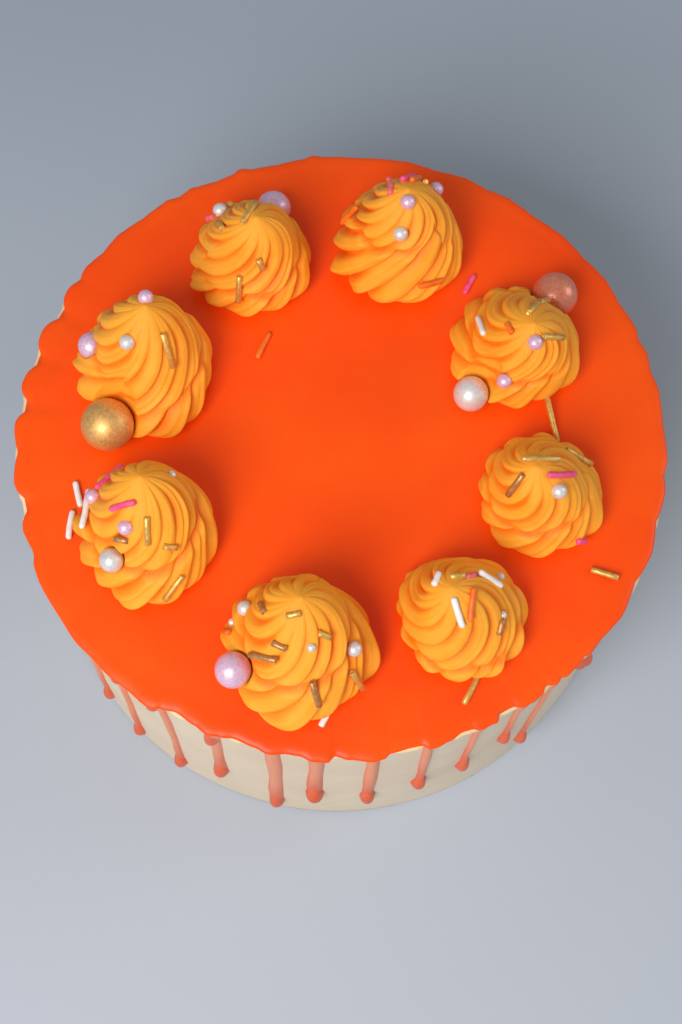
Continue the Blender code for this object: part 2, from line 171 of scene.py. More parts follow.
# Where the back of the rim hangs out less, in degrees to the right of the front
TIGHT_AT = -162.0
TIGHT_SPREAD = 14.0
TIGHT_BY = 0.0011

# Where the rim's lobes are shallow, from the right side round the back to the left, in the same degrees
CALM_RIGHT = (72.0, 88.0)
CALM_LEFT = (114.0, 130.0)
CALM_SHARE = 0.55
CALM_LEVEL = 0.68

# The bead of cream that shows under the rim's notches
BEAD_FROM = 0.0010
BEAD_TO = 0.0023
BEAD_SHOWN = 0.0010
BEAD_DROP = 0.0037
BEAD_SPREAD = 0.0013
# How far down the side the painted warm highlight under the glaze's rim reaches
PAINTED_RIM_LIGHT_REACH = 0.006

# The glaze's mesh
GLAZE_COLUMNS = 1600
GLAZE_FOOT = 0.003
GLAZE_ROW = 0.0006
RIM_DEPTH = 0.0022
RIM_REACH = 0.0052
RIM_ROWS = 10
RIM_ROUNDING = 2.4
RIM_SINKING = 0.0006
RIM_BLEND = 0.0005
TOP_RINGS = 18
RING_CROWDING = 1.5
SHOULDER_DROP = 0.0008
SHOULDER_REACH = 0.014
TOP_WAVE = 0.00010
TOP_WAVES = (55.0, 61.0)
TUCK = 0.0004
TUCKED_SHARE = 0.98

# Swirls, as in the solids: bearing from +X, distance out, width, height, how far the tip leans and the
# bearing it leans to, ridges, and the bearing at which the last turn of the piping ends
Swirl = namedtuple("Swirl", "bearing out width height lean lean_bearing ridges seam")
SWIRLS = (
    Swirl(30, 0.0608, 0.0397, 0.032, 0.0060, 288, 11, 30),
    Swirl(77, 0.0650, 0.0402, 0.036, 0.0022, 60, 12, 330),
    Swirl(120, 0.0654, 0.0380, 0.033, 0.0040, 330, 11, 200),
    Swirl(166, 0.0642, 0.0415, 0.037, 0.0062, 60, 12, 250),
    Swirl(214.5, 0.0676, 0.0412, 0.036, 0.0066, 90, 12, 80),
    Swirl(262.7, 0.0717, 0.0432, 0.035, 0.0070, 90, 12, 70),
    Swirl(303.2, 0.0688, 0.0370, 0.031, 0.0048, 180, 11, 100),
    Swirl(342.7, 0.0636, 0.0377, 0.031, 0.0050, 195, 11, 20),
)
SWIRL_LEVELS = (
    (0.00, 0.88, 0.00, 0.15),
    (0.15, 1.00, 0.13, 0.20),
    (0.33, 0.90, 0.33, 0.13),
    (0.50, 0.75, 0.49, 0.13),
    (0.67, 0.59, 0.68, 0.19),
    (0.83, 0.36, 0.86, 0.21),
    (0.94, 0.14, 0.96, 0.20),
    (1.00, 0.02, 1.00, 0.00),
)
SWIRL_TWIST = 115
TWIST_POWER = 0.9
UPPER_CURL = 60
RIDGE_SKEW = 1.25
CREASE_SHARPNESS = 0.65
SEAM_SHARE = 0.07
LEAN_POWER = 1.4
SWIRL_ROWS = 110
SAMPLES_PER_RIDGE = 20
CREASE_DEEPENING = 0.95
CREST_LEVEL = 0.80
SEAM_WIDTH = 0.08
SEAM_RETURN = 0.84
FOOT_UNEVEN = 0.03
FOOT_WAVES = 0.016
SKIRT_RISE = 0.30
SKIRT_POINTS = 0.045
SKIRT_TUCK = 0.03
TIP_SOFTENS_FROM = 0.60
TIP_SOFTENING = 0.80
TIP_UNEVENNESS = 0.16
TIP_FADE = 0.30

# How the ridges of a swirl differ: how far they wander, swell and split in two
RIDGE_WANDER = 4.0
RIDGE_SWELL = 0.25
RIDGE_STRENGTH = 0.30
RIDGE_RIPPLE = 0.04
SPLIT_AT = 0.46
SPLIT_WIDTH = 0.12
SPLIT_LOW = 0.30
SPLIT_MORE = 0.18
SPLITS = (-0.3, 1.0)
MOST_SPLIT = 0.8
FOOT_REACHES = (-0.5, 1.0)

# The step between a swirl's two turns of cream: its rise, how much it climbs round the swirl, how deep its
# crease is and how many degrees the ridges jump across it
TIER_WANDER = 0.025
TIER_SOFTNESS = 0.016
GROOVE_WIDTH = 0.030
SHELF_REACH = 0.10
SHELF_SHARE = 0.8
Tier = namedtuple("Tier", "rise climb depth jump")
TIERS = (
    Tier(0.42, 0.16, 0.07, 12),
    Tier(0.55, 0.14, 0.13, 16),
    Tier(0.40, 0.16, 0.07, 10),
    Tier(0.40, 0.20, 0.10, 14),
    Tier(0.42, 0.20, 0.11, 16),
    Tier(0.48, 0.16, 0.11, 16),
    Tier(0.26, 0.12, 0.06, 10),
    Tier(0.38, 0.16, 0.08, 12),
)

# Small toppings
ROD_RADIUS = 0.00095
ROD_LENGTHS = {"long": 0.0125, "rod": 0.0095, "bit": 0.0045}
BEAD_RADII = {"pearl": 0.0023, "bead": 0.0013}
SUNK_SHARE = 0.35
FOOT_RISE = 0.17
FOOT_REACH = 0.32
FOOT_SUNK = 0.0007
DROP_START = 0.006
DROP_REACH = 0.015
MOST_LIFT = 0.0016
LIFT_SHARES = (-0.8, -0.4, 0.4, 0.8)
STEP_ROUND = 5.0
STEP_UP = 0.05
ROD_SIDES = 12
ROD_BEND = 0.06
FOIL_BEND_SHARE = 0.3
ROD_SPREAD = (0.94, 1.06)
TOPPING_SEED = 11

# Small toppings on each swirl: colour, kind, bearing about the swirl's foot, rise from 0 to 1, and turn
SWIRL_TOPPINGS = {
    1: (
        ("gold", "rod", 84, 0.85, 70), ("gold", "rod", 64, 0.66, 84), ("white", "rod", 171, 0.58, 36),
        ("orange", "bit", 189, 0.85, 18), ("lilac", "pearl", 279, 0.88, 0),
        ("gold", "rod", 336, 0.83, 126), ("lilac", "pearl", 250, 0.49, 0),
    ),
    2: (
        ("pink", "bit", 106, 0.45, 80), ("magenta", "rod", 88, 0.82, 66), ("orange", "rod", 70, 0.82, 84),
        ("gold", "rod", 58, 0.70, 104), ("lilac", "pearl", 46, 0.60, 0), ("pink", "bit", 159, 0.88, 24),
        ("lilac", "pearl", 274, 0.93, 0), ("white", "pearl", 264, 0.75, 0),
        ("orange", "rod", 303, 0.30, 165), ("orange", "rod", 174, 0.50, 100),
    ),
    3: (
        ("white", "pearl", 133, 0.45, 0), ("pink", "bit", 147, 0.42, 94), ("gold", "bit", 118, 0.34, 100),
        ("gold", "rod", 132, 0.93, 30), ("gold", "bit", 176, 0.72, 43), ("gold", "bit", 285, 0.68, 105),
        ("gold", "rod", 261, 0.43, 92),
    ),
    4: (
        ("lilac", "pearl", 90, 0.92, 0), ("white", "pearl", 241, 0.80, 0), ("gold", "long", 316, 0.73, 78),
    ),
    5: (
        ("white", "long", 173, 0.40, 10), ("magenta", "long", 138, 0.53, 20),
        ("lilac", "pearl", 165, 0.50, 0), ("magenta", "rod", 230, 0.83, 54),
        ("lilac", "pearl", 248, 0.73, 0), ("copper", "bit", 246, 0.65, 18), ("gold", "rod", 282, 0.73, 84),
        ("gold", "bit", 306, 0.58, 138), ("gold", "rod", 297, 0.26, 42), ("white", "bead", 42, 0.73, 0),
    ),
    6: (
        ("white", "pearl", 156, 0.43, 0), ("white", "bead", 164, 0.26, 0),
        ("orange", "bit", 174, 0.28, 72), ("copper", "bit", 174, 0.75, 42), ("gold", "bit", 248, 0.92, 36),
        ("copper", "bit", 242, 0.75, 8), ("copper", "rod", 228, 0.63, 38), ("white", "bead", 291, 0.76, 0),
        ("gold", "bit", 318, 0.78, 118), ("white", "pearl", 345, 0.50, 0), ("gold", "rod", 330, 0.28, 88),
        ("copper", "rod", 288, 0.45, 94), ("white", "bit", 294, 0.08, 138),
    ),
    7: (
        ("white", "bit", 146, 0.85, 20), ("gold", "bit", 78, 0.90, 28), ("pink", "bit", 51, 0.83, 72),
        ("white", "rod", 34, 0.67, 55), ("white", "rod", 281, 0.85, 102), ("orange", "rod", 326, 0.85, 36),
        ("white", "bead", 39, 0.45, 0), ("white", "bead", 348, 0.54, 0), ("copper", "bit", 333, 0.53, 30),
        ("gold", "long", 282, 0.08, 126),
    ),
    8: (
        ("gold", "long", 72, 0.93, 30), ("gold", "long", 42, 0.43, 56), ("copper", "rod", 212, 0.80, 100),
        ("magenta", "long", 357, 0.83, 110), ("white", "pearl", 318, 0.80, 0),
        ("magenta", "bit", 312, 0.20, 135),
    ),
}

# Rods on the glaze: colour, bearing from +X, distance out, direction and length
GLAZE_RODS = (
    ("orange", 133.0, 0.0383, 70, 0.0098),
    ("magenta", 54.7, 0.0654, 66, 0.0075),
    ("gold", 333.0, 0.0903, 165, 0.0085),
    ("gold", 6.9, 0.0646, 105.8, 0.0150),
    ("white", 197.5, 0.0825, 108, 0.0085),
    ("white", 203.5, 0.0870, 88, 0.0092),
)
LEANING_LENGTH = 0.012
LEANING_CLIMB = 0.0035
GLAZE_ROD_HEIGHT = 0.85 * ROD_RADIUS

# Outlines of a rod from end to end, as shares of its length and radius: coated in foil, and plain sugar
FOIL_ENDS = (
    (-0.47, 0.0), (-0.485, 0.55), (-0.5, 0.72), (-0.48, 1.0), (-0.2, 0.97),
    (0.1, 1.0), (0.48, 0.98), (0.5, 0.72), (0.485, 0.55), (0.47, 0.0),
)
SUGAR_ENDS = (
    (-0.5, 0.0), (-0.49, 0.5), (-0.46, 0.85), (-0.41, 1.0), (-0.15, 1.04),
    (0.15, 0.98), (0.41, 1.0), (0.46, 0.85), (0.49, 0.5), (0.5, 0.0),
)

# Large pearls, and how the cream is dented where one was pressed into it
PEARL_NODES = (
    "pearl_gold", "pearl_pink", "pearl_white_1", "pearl_white_2",
    "pearl_lilac_1", "pearl_lilac_2", "pearl_lilac_3",
)
PEARL_SHRINK = 0.992
PEARL_SEED = 3
PEARL_LUMP = 0.008
LUMPY_PEARL = "pearl_lilac_1"
LUMPY_PEARL_LUMP = 0.022
SMALL_PEARL_LUMP = 0.012
DENT_FLARE = 0.25
DENT_REACH = 0.7

# The solids' material slot for each colour of rod or small pearl
TOPPING_SLOTS = {
    "gold": "gold_sugar",
    "copper": "gold_sugar",
    "pink": "pink_sugar",
    "magenta": "pink_sugar",
    "orange": "orange_glaze",
    "white": "white_sugar",
    "lilac": "lilac_sugar",
}

# Two shades of each colour of rod, and of each colour of pearl
METALS = ("gold", "copper")
ROD_COLOURS = {
    "gold": ((0.66, 0.36, 0.07), (0.84, 0.53, 0.15)),
    "copper": ((0.44, 0.19, 0.06), (0.64, 0.32, 0.12)),
    "pink": ((0.80, 0.09, 0.12), (0.88, 0.17, 0.19)),
    "magenta": ((0.84, 0.05, 0.17), (0.93, 0.12, 0.28)),
    "orange": ((0.78, 0.12, 0.004), (0.88, 0.19, 0.012)),
    "white": ((0.78, 0.74, 0.70), (0.88, 0.86, 0.84)),
}
PEARL_COLOURS = {
    "gold": ((0.66, 0.34, 0.09), (0.82, 0.48, 0.16)),
    "pink": ((0.66, 0.17, 0.085), (0.76, 0.26, 0.15)),
    "white": ((0.67, 0.63, 0.60), (0.80, 0.76, 0.73)),
    "lilac": ((0.72, 0.43, 0.60), (0.86, 0.58, 0.74)),
}

# The camera, in metres and degrees, and the light
CAMERA_PLACE = (0.0, -0.1906, 0.5594)
CAMERA_PITCH = 70.05
CAMERA_YAW = 0.30
CAMERA_ROLL = 3.37
CAMERA_LENS = 56.25
SENSOR_SIDE = 36.0
FLOOR_SIDE = 8.0
# Painted shade: the floor is coloured darker towards the back, between two distances along Y
FLOOR_PAINTED_SHADE = (0.33, 0.37, 0.43)
FLOOR_PAINTED_SHADE_FROM = -0.05
FLOOR_PAINTED_SHADE_TO = 0.22
KEY_DIRECTION = (-0.33, -0.61, 0.72)
KEY_DISTANCE = 1.0
KEY_SIDE = 0.5
KEY_POWER = 8.6
FILL_DIRECTION = (0.87, 0.19, 0.44)
FILL_DISTANCE = 1.4
FILL_SIDE = 0.6
FILL_POWER = 3.0
SKY_BACK = (0.62, 0.67, 0.72)
SKY_FRONT = (1.0, 1.0, 1.0)
SKY_STRENGTH = 0.47


def polar(radius, degrees, height):
    angle = math.radians(degrees)
    return Vector((radius * math.cos(angle), radius * math.sin(angle), height))


def polar_points(radius, degrees, height):
    """Points as an array, from arrays of radii, bearings and heights."""
    angle = np.radians(degrees)
    radius, angle, height = np.broadcast_arrays(radius, angle, height)
    return np.stack([radius * np.cos(angle), radius * np.sin(angle), height], axis=-1)


def smooth_step(low, high, value):
    share = np.clip((value - low) / (high - low), 0.0, 1.0)
    return share * share * (3.0 - 2.0 * share)


def smooth_most(first, second, blend):
    """The larger of two arrays, with the change from one to the other rounded over about the blend."""
    return 0.5 * (first + second + np.sqrt((first - second) ** 2 + blend**2))


def link_object(name, mesh):
    """A smooth-shaded object for a mesh, in the scene."""
    mesh.shade_smooth()
    obj = bpy.data.objects.new(name, mesh)
    bpy.context.scene.collection.objects.link(obj)
    return obj


def make_object(name, points, faces, values=None):
    """A smooth-shaded mesh object from an array of points, with named values on its points."""
    mesh = bpy.data.meshes.new(name)
    mesh.from_pydata(points.reshape(-1, 3).tolist(), [], faces)
    for label, numbers in (values or {}).items():
        layer = mesh.attributes.new(label, "FLOAT", "POINT")
        layer.data.foreach_set("value", np.asarray(numbers, np.float32).ravel())
    return link_object(name, mesh)


def object_from_shape(name, shape):
    """A smooth-shaded mesh object from a bmesh, which is freed."""
    mesh = bpy.data.meshes.new(name)
    shape.to_mesh(mesh)
    shape.free()
    return link_object(name, mesh)


def band_faces(rows, columns, keep=None):
    """Faces between the rows of a closed grid, wound so that rows that climb an outer side face out."""
    faces = []
    for j in range(rows - 1):
        for i in range(columns):
            if keep is not None and not keep[j, i]:
                continue
            k = (i + 1) % columns
            faces.append((j * columns + i, j * columns + k, (j + 1) * columns + k, (j + 1) * columns + i))
    return faces


def add_piece(obj, material, slot, *nodes):
    obj.data.materials.append(material)
    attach(obj, "root")
    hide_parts(*nodes)


def drips():
    """(bearing from +X, end height) of every drip, anticlockwise from the first on the left of the front."""
    draw = random.Random(DRIP_SEED)
    found = [(right - 90.0, end) for right, end, _, _ in FRONT_DRIPS]
    for right in OTHER_DRIPS:
        found.append((right - 90.0, draw.choice(OTHER_ENDS) + draw.uniform(0.0, OTHER_END_SPREAD)))
    return found


def bareness(bearings):
    """1 in the notches that leave the cream bare, 0 elsewhere."""
    bare = np.zeros_like(bearings)
    for right in BARE_NOTCHES:
        apart = (bearings - (right - 90.0) + 180.0) % 360.0 - 180.0
        bare = np.maximum(bare, np.exp(-((apart / BARE_SPREAD) ** 2)))
    return bare


def lobes(bearings):
    """1 over a drip and 0 in the notch halfway to the next."""
    middles = np.array(sorted(middle % 360.0 for middle, _ in drips()))
    middles = np.concatenate([[middles[-1] - 360.0], middles, [middles[0] + 360.0]])
    wrapped = bearings % 360.0
    after = np.searchsorted(middles, wrapped, side="right")
    low, high = middles[after - 1], middles[after]
    share = (wrapped - low) / (high - low)
    return (np.cos(np.pi * share) ** 2 + LOBE_FLOOR) ** LOBE_POWER


def rim_overhang(bearings):
    """How far the rim hangs out: as listed round the front, a lobe over each drip elsewhere."""
    right = (bearings + 90.0 + 180.0) % 360.0 - 180.0
    calm = CALM_SHARE * (smooth_step(*CALM_RIGHT, right) + smooth_step(*CALM_LEFT, -right))
    lobe = lobes(bearings)
    lobe = lobe + calm * (CALM_LEVEL - lobe)
    plain = NOTCH_OVERHANG + lobe * (LOBE_OVERHANG - NOTCH_OVERHANG)
    plain = plain - TIGHT_BY * np.exp(-(((right - TIGHT_AT) / TIGHT_SPREAD) ** 2))
    plain = plain + bareness(bearings) * (BARE_OVERHANG - plain)
    at = np.array([place for place, _ in FRONT_RIM])
    out = np.array([reach for _, reach in FRONT_RIM]) * 0.001
    index = np.clip(np.searchsorted(at, right, side="right") - 1, 0, len(at) - 2)
    listed = out[index] + (out[index + 1] - out[index]) * smooth_step(at[index], at[index + 1], right)
    inside = smooth_step(at[0], at[0] + FRONT_RIM_BLEND, right)
    inside = inside * (1.0 - smooth_step(at[-1] - FRONT_RIM_BLEND, at[-1], right))
    return plain + inside * (listed - plain)


def side_radius(bearings, heights):
    """The hand-smoothed side of the cake."""
    angle = np.radians(bearings)
    uneven = 0.0
    for depth, turns, climb, phase in SIDE_WAVES:
        uneven = uneven + depth * np.sin(turns * angle + climb * heights + phase)
    return CAKE_RADIUS - SIDE_INSET + uneven


def wall_radius(bearings, heights):
    """The side with a soft bead of cream under the notches of the glaze's rim."""
    overhang = rim_overhang(bearings)
    bead = (1.0 - smooth_step(BEAD_FROM, BEAD_TO, overhang)) * (np.maximum(overhang, 0.0) + BEAD_SHOWN)
    below = (TOP_HEIGHT - BEAD_DROP - heights) / BEAD_SPREAD
    return side_radius(bearings, heights) + bead * np.exp(-below * below)


def make_cake():
    """The cake in buttercream, from the middle of its underside to the middle of its top."""
    bearings = np.arange(CAKE_COLUMNS) * 360.0 / CAKE_COLUMNS
    top = cake_high.z
    edge = top - CAKE_EDGE_RADIUS
    rows = [(UNDERSIDE_RING, 0.0, False), (CAKE_RADIUS - 2 * FOOT_BEVEL, 0.0, False)]
    for height in np.linspace(FOOT_BEVEL, edge, CAKE_ROWS):
        rows.append((0.0, height, True))
    for degrees in CAKE_EDGE_DEGREES:
        angle = math.radians(degrees)
        inset = CAKE_EDGE_RADIUS * (1.0 - math.cos(angle))
        rows.append((-inset, edge + CAKE_EDGE_RADIUS * math.sin(angle), True))
    rows.append((TOP_RING, top, False))
    points = []
    for reach, height, on_wall in rows:
        radius = wall_radius(bearings, np.full(CAKE_COLUMNS, height)) + reach if on_wall else reach
        points.append(polar_points(radius, bearings, height))
    count = len(rows) * CAKE_COLUMNS
    faces = band_faces(len(rows), CAKE_COLUMNS)
    faces.append(tuple(reversed(range(CAKE_COLUMNS))))
    faces.append(tuple(range(count - CAKE_COLUMNS, count)))
    points = np.array(points)
    # Painted highlight: the side is coloured paler and warmer towards the glaze's rim
    painted_rim_light = np.exp(-np.maximum(TOP_HEIGHT - points[..., 2], 0.0) / PAINTED_RIM_LIGHT_REACH)
    obj = make_object("cake_side", points, faces, {"painted_rim_light": painted_rim_light})
    add_piece(obj, buttercream_material(), "ivory_buttercream", "cake")


def runs():
    """(bearing from +X, end height, stem width, bulb width) of every drip and short run."""
    draw = random.Random(DRIP_SEED)
    found = []
    for index, (bearing, end) in enumerate(drips()):
        if index < len(FRONT_DRIPS):
            stem, bulb = FRONT_DRIPS[index][2:]
        else:
            stem = draw.uniform(*OTHER_STEMS)
            bulb = stem + draw.uniform(*OTHER_BULBS)
        found.append((bearing, end, 0.001 * stem, 0.001 * bulb))
    for right, end, width in SHORT_RUNS:
        found.append((right - 90.0, end, 0.001 * width, 0.001 * width))
    return found


def drip_depth(run, bearings, heights, wobble):
    """(depth, nearness to its end) of one run of glaze: a flat stem that ends in a round bulb."""
    bearing, end, stem, bulb = run
    middle = bearing + STEM_SWAY_DEGREES * wobble * np.sin(STEM_SWAYS * heights + 3.0 * wobble)
    across = np.radians((bearings - middle + 180.0) % 360.0 - 180.0) * CAKE_RADIUS
    root = TOP_HEIGHT - LOBE_DROP
    flare = smooth_step(root - ROOT_BELOW, root + ROOT_ABOVE, heights)
    wave = STEM_WAVE_SHARE * np.sin(STEM_WAVES * heights + 5.0 * wobble)
    width = stem * (1.0 + wave) + flare * ROOT_SPREAD
    depth = STEM_DEPTH + flare * (ROOT_DEPTH - STEM_DEPTH)
    above = heights - (end + BULB_LIFT) - BULB_HALF_HEIGHT
    closing = np.clip(-above / BULB_HALF_HEIGHT, 0.0, 3.0)
    edge = np.sqrt((2.0 * across / width) ** 2 + closing**2)
    stem_depth = np.maximum(depth * (1.0 - edge**STEM_ROUNDING), -BURIED)
    half = np.where(above > 0.0, BULB_NECK, BULB_HALF_HEIGHT)
    round_out = 1.0 - (2.0 * across / bulb) ** 2 - (above / half) ** 2
    ball = BULB_SHARE * bulb * np.sign(round_out) * np.sqrt(np.abs(round_out))
    depth = smooth_most(stem_depth, np.maximum(ball, -BURIED), BULB_BLEND)
    return depth, 1.0 - smooth_step(0.0, RUN_DARKENS_OVER, heights - end)


def glaze_over_side(bearings, heights):
    """(depth of glaze over the side, how thick its film looks from 0 to 1 plus painted shade at the runs'
    edges) at bearings and heights.
    """
    overhang = rim_overhang(bearings)
    lobe = smooth_step(BEAD_FROM, BEAD_TO, overhang)
    drop = NOTCH_DROP + lobe * (LOBE_DROP - NOTCH_DROP)
    start = TOP_HEIGHT - RIM_DEPTH
    down = np.clip((start - heights) / (drop - RIM_DEPTH), 0.0, 3.0)
    rim = np.maximum(overhang * (1.0 - down**RIM_ROUNDING), -BURIED)
    rim = np.where(down > 1.0, np.minimum(rim, -RIM_SINKING * (down - 1.0)), rim)
    deepest = np.full_like(rim, -BURIED)
    low = np.zeros_like(rim)
    draw = random.Random(DRIP_SEED)
    for run in runs():
        near = np.abs((bearings[0] - run[0] + 180.0) % 360.0 - 180.0) < DRIP_REACH_DEGREES
        depth, nearness = drip_depth(run, bearings[:, near], heights[:, near], draw.uniform(-1.0, 1.0))
        low[:, near] = np.where(depth > deepest[:, near], nearness, low[:, near])
        deepest[:, near] = np.maximum(deepest[:, near], depth)
    film_and_edge_shade = THIN_FILM + END_FILM * low + BULB_FILM * smooth_step(*BULB_FILM_DEPTHS, deepest)
    # Painted shade: the shallow edges of each run are coloured deeper than a thin film would be
    film_and_edge_shade = film_and_edge_shade + EDGE_PAINTED_SHADE * (1.0 - smooth_step(0.0, EDGE_PAINTED_SHADE_DEPTH, deepest))
    rim_share = 1.0 / (1.0 + np.exp(np.clip((deepest - rim) / FILM_BLEND, -30.0, 30.0)))
    covering = np.maximum(smooth_most(rim, deepest, RIM_BLEND), -TUCK)
    return covering, film_and_edge_shade + rim_share * (1.0 - film_and_edge_shade)


def shoulder(radius, edge):
    """How far the top of the glaze falls away near its edge."""
    return SHOULDER_DROP * np.clip(1.0 - (edge - radius) / SHOULDER_REACH, 0.0, 1.0) ** 2


def make_glaze():
    """One sheet: the glazed top, the rounded rim and the drips, its border tucked into the cream."""
    bearings = np.arange(GLAZE_COLUMNS) * 360.0 / GLAZE_COLUMNS
    start = TOP_HEIGHT - RIM_DEPTH
    heights = np.arange(GLAZE_FOOT, start, GLAZE_ROW)
    grid_bearings, grid_heights = np.meshgrid(bearings, heights)
    depth, film_and_edge_shade = glaze_over_side(grid_bearings, grid_heights)
    points = [polar_points(side_radius(grid_bearings, grid_heights) + depth, grid_bearings, grid_heights)]
    first = np.full(GLAZE_COLUMNS, start)
    rim_depth = glaze_over_side(bearings[None, :], first[None, :])[0][0]
    hang = np.where(rim_depth > -TUCK, rim_depth, rim_overhang(bearings))
    outer = side_radius(bearings, first) + hang
    for k in range(RIM_ROWS):
        angle = 0.5 * math.pi * k / (RIM_ROWS - 1)
        radius = outer - RIM_REACH * (1.0 - math.cos(angle))
        height = start + (RIM_DEPTH - SHOULDER_DROP) * math.sin(angle)
        points.append(polar_points(radius, bearings, height)[None])
    inner = outer - RIM_REACH
    for k in range(1, TOP_RINGS + 1):
        radius = inner * (1.0 - (k / (TOP_RINGS + 1)) ** RING_CROWDING)
        wave = TOP_WAVE * np.sin(TOP_WAVES[0] * radius * np.cos(np.radians(bearings)) + 1.0)
        wave = wave * np.sin(TOP_WAVES[1] * radius * np.sin(np.radians(bearings)) + 0.4)
        points.append(polar_points(radius, bearings, TOP_HEIGHT + wave - shoulder(radius, inner))[None])
    points = np.concatenate(points)
    thick_rows = RIM_ROWS + TOP_RINGS
    film_and_edge_shade = np.concatenate([film_and_edge_shade, np.ones((thick_rows, GLAZE_COLUMNS))])
    covered = np.concatenate([depth > -TUCKED_SHARE * TUCK, np.ones((thick_rows, GLAZE_COLUMNS), bool)])
    beside = covered | np.roll(covered, -1, axis=1)
    faces = band_faces(len(points), GLAZE_COLUMNS, beside[:-1] | beside[1:])
    last = (len(points) - 1) * GLAZE_COLUMNS
    faces.append(tuple(range(last, last + GLAZE_COLUMNS)))
    obj = make_object("glaze_sheet", points, faces, {"film_and_edge_shade": film_and_edge_shade})
    drop_loose_points(obj)
    add_piece(obj, glaze_material(), "orange_glaze", "glaze")


def drop_loose_points(obj):
    shape = bmesh.new()
    shape.from_mesh(obj.data)
    loose = [vertex for vertex in shape.verts if not vertex.link_faces]
    bmesh.ops.delete(shape, geom=loose, context="VERTS")
    shape.to_mesh(obj.data)
    shape.free()


def smooth_levels(rise):
    """(radius share, height share, crease depth) at rises, on smooth curves through the levels."""
    levels = np.array(SWIRL_LEVELS)
    at = levels[:, 0]
    index = np.clip(np.searchsorted(at, rise, side="right") - 1, 0, len(at) - 2)
    span = at[index + 1] - at[index]
    t = (rise - at[index]) / span
    found = []
    for column in levels[:, 1:].T:
        slope = np.gradient(column, at)
        low, high = column[index], column[index + 1]
        value = (1 + 2 * t) * (1 - t) ** 2 * low + t * (1 - t) ** 2 * span * slope[index]
        value += t * t * (3 - 2 * t) * high + t * t * (t - 1) * span * slope[index + 1]
        found.append(value)
    return found


def swirl_turn(rise):
    """How far a ridge has wound round the swirl, in degrees, on its way down from the tip."""
    return SWIRL_TWIST * (1.0 - rise) ** TWIST_POWER


def swirl_axis(swirl, height_share):
    """The middle of a swirl at shares of its height: the axis bends over towards the tip."""
    foot = polar(swirl.out, swirl.bearing, TOP_HEIGHT)
    lean = swirl.lean * height_share**LEAN_POWER
    angle = math.radians(swirl.lean_bearing)
    height = foot.z + swirl.height * height_share + GAP * height_share
    return np.stack([foot.x + lean * math.cos(angle), foot.y + lean * math.sin(angle), height], axis=-1)


def waves(draw, degrees, rise, count, most):
    """A smooth random surface round and up a swirl, from about -1 to 1."""
    total = np.zeros_like(rise)
    angle = np.radians(degrees)
    for _ in range(count):
        turns = draw.integers(1, most + 1)
        climb = draw.uniform(1.0, 2.2 * most)
        total += np.sin(turns * angle + climb * rise + draw.uniform(0.0, 6.28))
    return total / math.sqrt(count)


def ridge_crests(swirl, along, rise, draw):
    """(height over the creases from 0 to 1, swell, reach of the foot) of the ridge at arrays of bearings."""
    turns = along * swirl.ridges / 360.0
    ridge = np.floor(turns).astype(int) % swirl.ridges
    phase = turns - np.floor(turns)
    swell = 1.0 + RIDGE_SWELL * draw.uniform(-1.0, 1.0, swirl.ridges)[ridge]
    reach = draw.uniform(*FOOT_REACHES, swirl.ridges)[ridge]
    split = np.clip(draw.uniform(*SPLITS, swirl.ridges)[ridge], 0.0, MOST_SPLIT)
    split = split * (SPLIT_LOW + SPLIT_MORE * smooth_step(0.15, 0.55, rise))
    sharpness = CREASE_SHARPNESS + 0.25 * np.clip(rise - 0.3, 0.0, 0.4)
    crest = np.sin(np.pi * phase**RIDGE_SKEW) ** sharpness
    crest = crest * (1.0 - split * np.exp(-(((phase - SPLIT_AT) / SPLIT_WIDTH) ** 2)))
    crest = crest * (1.0 + RIDGE_RIPPLE * np.sin(6.0 * np.pi * phase + 9.0 * reach))
    return crest, swell, reach


